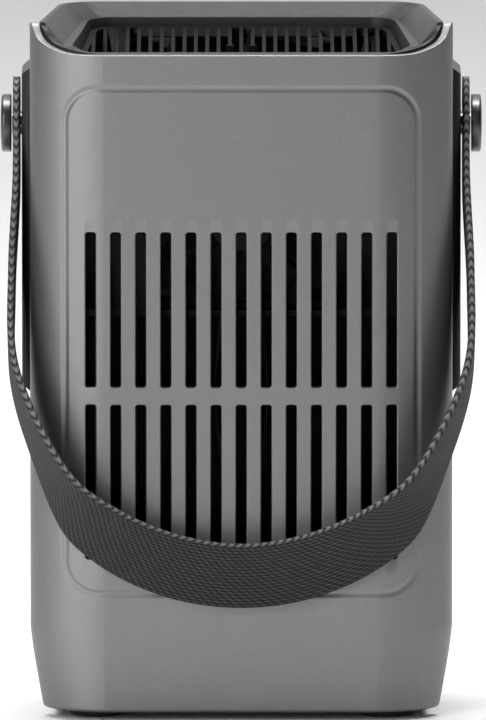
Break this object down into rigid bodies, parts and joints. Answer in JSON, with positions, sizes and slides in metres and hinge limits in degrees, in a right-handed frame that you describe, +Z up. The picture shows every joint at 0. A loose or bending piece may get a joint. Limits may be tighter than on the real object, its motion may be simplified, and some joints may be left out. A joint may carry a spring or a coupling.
{
  "type": "power station",
  "caption": "Small upright camping power station with a vented rear, a recessed top grille, sockets in front and a webbing carry strap on side pivots.",
  "frame": {"origin": "centre of the bottom of the whole object's box, on the surface that it stands on", "axes": "+Z up; the vented rear face and the leaning strap face -Y, the sockets face +Y, and +X is to the right when looking along +Y"},
  "size_m": [0.161, 0.105, 0.233],
  "materials": {
    "shell_grey": "fine matte moulded texture",
    "dark_plastic": "fine rough moulded texture",
    "black_plastic": "satin moulded",
    "pad_rubber": "ribbed rubber",
    "foot_rubber": "matte rubber",
    "webbing": "woven twill webbing",
    "dark_metal": "dark satin",
    "steel": "satin",
    "window_glass": "smoked gloss",
    "board_green": "solder resist",
    "cell_wrap": "blue film on an aluminium can",
    "copper": "bare copper",
    "aluminium": "extruded"
  },
  "bodies": {
    "housing": {"rear_shell": "shell_grey", "front_shell": "dark_plastic", "top_collar": "dark_plastic", "base_plate": "dark_plastic", "side_rail_left": "dark_plastic", "side_rail_right": "dark_plastic", "top_grille": "black_plastic", "grille_latch": "black_plastic", "front_panel": "black_plastic", "display_module": "black_plastic", "dc_input_port": "black_plastic", "cell_tray": "black_plastic", "cell_clamp": "black_plastic", "capacitor": "black_plastic", "fan_frame": "black_plastic", "air_baffle": "black_plastic", "grip_pad_left": "pad_rubber", "grip_pad_right": "pad_rubber", "foot_rear_left": "foot_rubber", "foot_rear_right": "foot_rubber", "foot_front_left": "foot_rubber", "foot_front_right": "foot_rubber", "strap_washer_left": "dark_metal", "strap_washer_right": "dark_metal", "strap_knob_left": "dark_metal", "strap_knob_right": "dark_metal", "car_socket": "dark_metal", "base_screw_1": "steel", "base_screw_2": "steel", "pivot_post_left": "steel", "pivot_post_right": "steel", "usb_c_port_1": "steel", "usb_c_port_2": "steel", "usb_a_port_1": "steel", "usb_a_port_2": "steel", "cap_hinge_pin": "steel", "display_window": "window_glass", "button_board": "board_green", "battery_board": "board_green", "power_board": "board_green", "battery_cell_1": "cell_wrap", "battery_cell_2": "cell_wrap", "battery_cell_3": "cell_wrap", "battery_cell_4": "cell_wrap", "bus_bar_1": "copper", "bus_bar_2": "copper", "bus_bar_3": "copper", "inductor_1": "copper", "inductor_2": "copper", "heat_sink": "aluminium"},
    "strap": {"carry_strap": "webbing", "strap_eyelet_left": "steel", "strap_eyelet_right": "steel"},
    "fan": {"fan_rotor": "dark_plastic"},
    "display_key": {"display_button": "dark_plastic"},
    "power_key": {"power_button": "dark_plastic"},
    "output_key": {"output_button": "dark_plastic"},
    "socket_cap": {"car_socket_cap": "pad_rubber"}
  },
  "joints": [
    {"name": "strap_swing", "type": "hinge", "parent": "housing", "child": "strap", "pos_m": [0, 0.00916, 0.1964], "axis": [-1, 0, 0], "range_deg": [0, 312]},
    {"name": "fan_spin", "type": "hinge", "parent": "housing", "child": "fan", "pos_m": [0, -0.01884, 0.168], "axis": [0, 1, 0], "continuous": true},
    {"name": "display_press", "type": "slide", "parent": "housing", "child": "display_key", "axis": [0, -1, 0], "range_m": [0, 0.001], "stiffness_N_per_m": 500},
    {"name": "power_press", "type": "slide", "parent": "housing", "child": "power_key", "axis": [0, -1, 0], "range_m": [0, 0.001], "stiffness_N_per_m": 500},
    {"name": "output_press", "type": "slide", "parent": "housing", "child": "output_key", "axis": [0, -1, 0], "range_m": [0, 0.001], "stiffness_N_per_m": 500},
    {"name": "cap_swing", "type": "hinge", "parent": "housing", "child": "socket_cap", "pos_m": [0.026, 0.05096, 0.1664], "axis": [1, 0, 0], "range_deg": [0, 150]}
  ]
}
